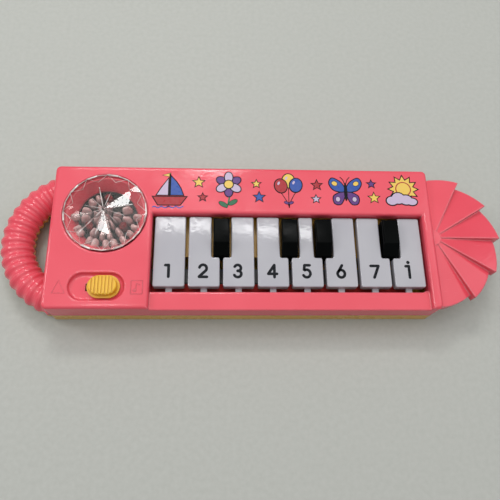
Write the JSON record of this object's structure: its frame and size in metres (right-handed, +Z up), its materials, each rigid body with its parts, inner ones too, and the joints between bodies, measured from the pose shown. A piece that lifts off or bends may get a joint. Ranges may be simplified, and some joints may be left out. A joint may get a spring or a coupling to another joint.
{
  "type": "toy piano",
  "caption": "Flat toy piano with hinged numbered keys, fixed black caps, a faceted lamp, a sliding mode switch, a ribbed carrying loop and a pleated fan end.",
  "frame": {"origin": "on the table under the middle of the object's box", "axes": "+X along the case from the carrying loop to the fan, -Y to the player, +Z up"},
  "size_m": [0.2048, 0.0604, 0.0223],
  "materials": {
    "pink_shell": "moulded gloss",
    "yellow_shell": "moulded gloss",
    "yellow_frame": "moulded gloss",
    "yellow_knob": "moulded, ribbed grip",
    "white_keys": "moulded gloss, printed numerals",
    "black_keys": "moulded gloss",
    "clear_lens": "clear, faceted",
    "circuit_board": "solder resist",
    "white_diffuser": "satin",
    "led_resin": "tinted clear",
    "switch_metal": "plated",
    "black_plastic": "moulded",
    "black_resin": "potting resin",
    "capacitor_sleeve": "shrink sleeve",
    "grey_rubber": "matt silicone",
    "zinc_steel": "zinc plated",
    "bright_steel": "drawn",
    "pressed_steel": "plated",
    "magnet": "sintered",
    "paper_cone": "pressed paper",
    "cell_wrap": "printed sleeve",
    "contact_steel": "nickel plated",
    "wire_sleeve": "soft sleeve"
  },
  "bodies": {
    "case": {"top_housing": "pink_shell", "bottom_housing": "yellow_shell", "key_frame": "yellow_frame", "light_lens": "clear_lens", "lamp_board": "circuit_board", "main_board": "circuit_board", "lamp_diffuser": "white_diffuser", "lamp_leds": "led_resin", "switch_body": "switch_metal", "sound_chip": "black_resin", "board_resistors": "black_resin", "board_capacitor": "capacitor_sleeve", "board_transistor": "black_resin", "contact_strip": "grey_rubber", "board_screws": "zinc_steel", "frame_screws": "zinc_steel", "case_screws": "zinc_steel", "key_hinge_rod": "bright_steel", "speaker_basket": "pressed_steel", "speaker_magnet": "magnet", "speaker_cone": "paper_cone", "battery_cells": "cell_wrap", "battery_plate": "contact_steel", "battery_spring": "contact_steel", "battery_wires": "wire_sleeve", "lamp_wires": "wire_sleeve", "speaker_wires": "wire_sleeve", "black_key_1": "black_keys", "black_key_2": "black_keys", "black_key_3": "black_keys", "black_key_4": "black_keys"},
    "white_key_1": {"white_key_1": "white_keys"},
    "white_key_2": {"white_key_2": "white_keys"},
    "white_key_3": {"white_key_3": "white_keys"},
    "white_key_4": {"white_key_4": "white_keys"},
    "white_key_5": {"white_key_5": "white_keys"},
    "white_key_6": {"white_key_6": "white_keys"},
    "white_key_7": {"white_key_7": "white_keys"},
    "white_key_8": {"white_key_8": "white_keys"},
    "mode_switch": {"slide_knob": "yellow_knob", "switch_actuator": "black_plastic"},
    "battery_door": {"battery_door": "yellow_shell", "battery_door_screw": "zinc_steel"}
  },
  "joints": [
    {"name": "white_key_1_hinge", "type": "hinge", "parent": "case", "child": "white_key_1", "pos_m": [-0.03317, 0.0124, 0.013], "axis": [1, 0, 0], "range_deg": [0, 3.4], "stiffness_Nm_per_rad": 0.15, "springref_deg": -1.15, "deforming": ["contact_strip"]},
    {"name": "white_key_2_hinge", "type": "hinge", "parent": "case", "child": "white_key_2", "pos_m": [-0.0194, 0.0124, 0.013], "axis": [1, 0, 0], "range_deg": [0, 3.4], "stiffness_Nm_per_rad": 0.15, "springref_deg": -1.15, "deforming": ["contact_strip"]},
    {"name": "white_key_3_hinge", "type": "hinge", "parent": "case", "child": "white_key_3", "pos_m": [-0.00563, 0.0124, 0.013], "axis": [1, 0, 0], "range_deg": [0, 3.4], "stiffness_Nm_per_rad": 0.15, "springref_deg": -1.15, "deforming": ["contact_strip"]},
    {"name": "white_key_4_hinge", "type": "hinge", "parent": "case", "child": "white_key_4", "pos_m": [0.00814, 0.0124, 0.013], "axis": [1, 0, 0], "range_deg": [0, 3.4], "stiffness_Nm_per_rad": 0.15, "springref_deg": -1.15, "deforming": ["contact_strip"]},
    {"name": "white_key_5_hinge", "type": "hinge", "parent": "case", "child": "white_key_5", "pos_m": [0.02191, 0.0124, 0.013], "axis": [1, 0, 0], "range_deg": [0, 3.4], "stiffness_Nm_per_rad": 0.15, "springref_deg": -1.15, "deforming": ["contact_strip"]},
    {"name": "white_key_6_hinge", "type": "hinge", "parent": "case", "child": "white_key_6", "pos_m": [0.03568, 0.0124, 0.013], "axis": [1, 0, 0], "range_deg": [0, 3.4], "stiffness_Nm_per_rad": 0.15, "springref_deg": -1.15, "deforming": ["contact_strip"]},
    {"name": "white_key_7_hinge", "type": "hinge", "parent": "case", "child": "white_key_7", "pos_m": [0.04945, 0.0124, 0.013], "axis": [1, 0, 0], "range_deg": [0, 3.4], "stiffness_Nm_per_rad": 0.15, "springref_deg": -1.15, "deforming": ["contact_strip"]},
    {"name": "white_key_8_hinge", "type": "hinge", "parent": "case", "child": "white_key_8", "pos_m": [0.06322, 0.0124, 0.013], "axis": [1, 0, 0], "range_deg": [0, 3.4], "stiffness_Nm_per_rad": 0.15, "springref_deg": -1.15, "deforming": ["contact_strip"]},
    {"name": "mode_slide", "type": "slide", "parent": "case", "child": "mode_switch", "axis": [1, 0, 0], "range_m": [-0.0055, 0]},
    {"name": "battery_door_hinge", "type": "hinge", "parent": "case", "child": "battery_door", "pos_m": [-0.04478, 0.02175, 0.0003], "axis": [0, 1, 0], "range_deg": [0, 75]}
  ]
}
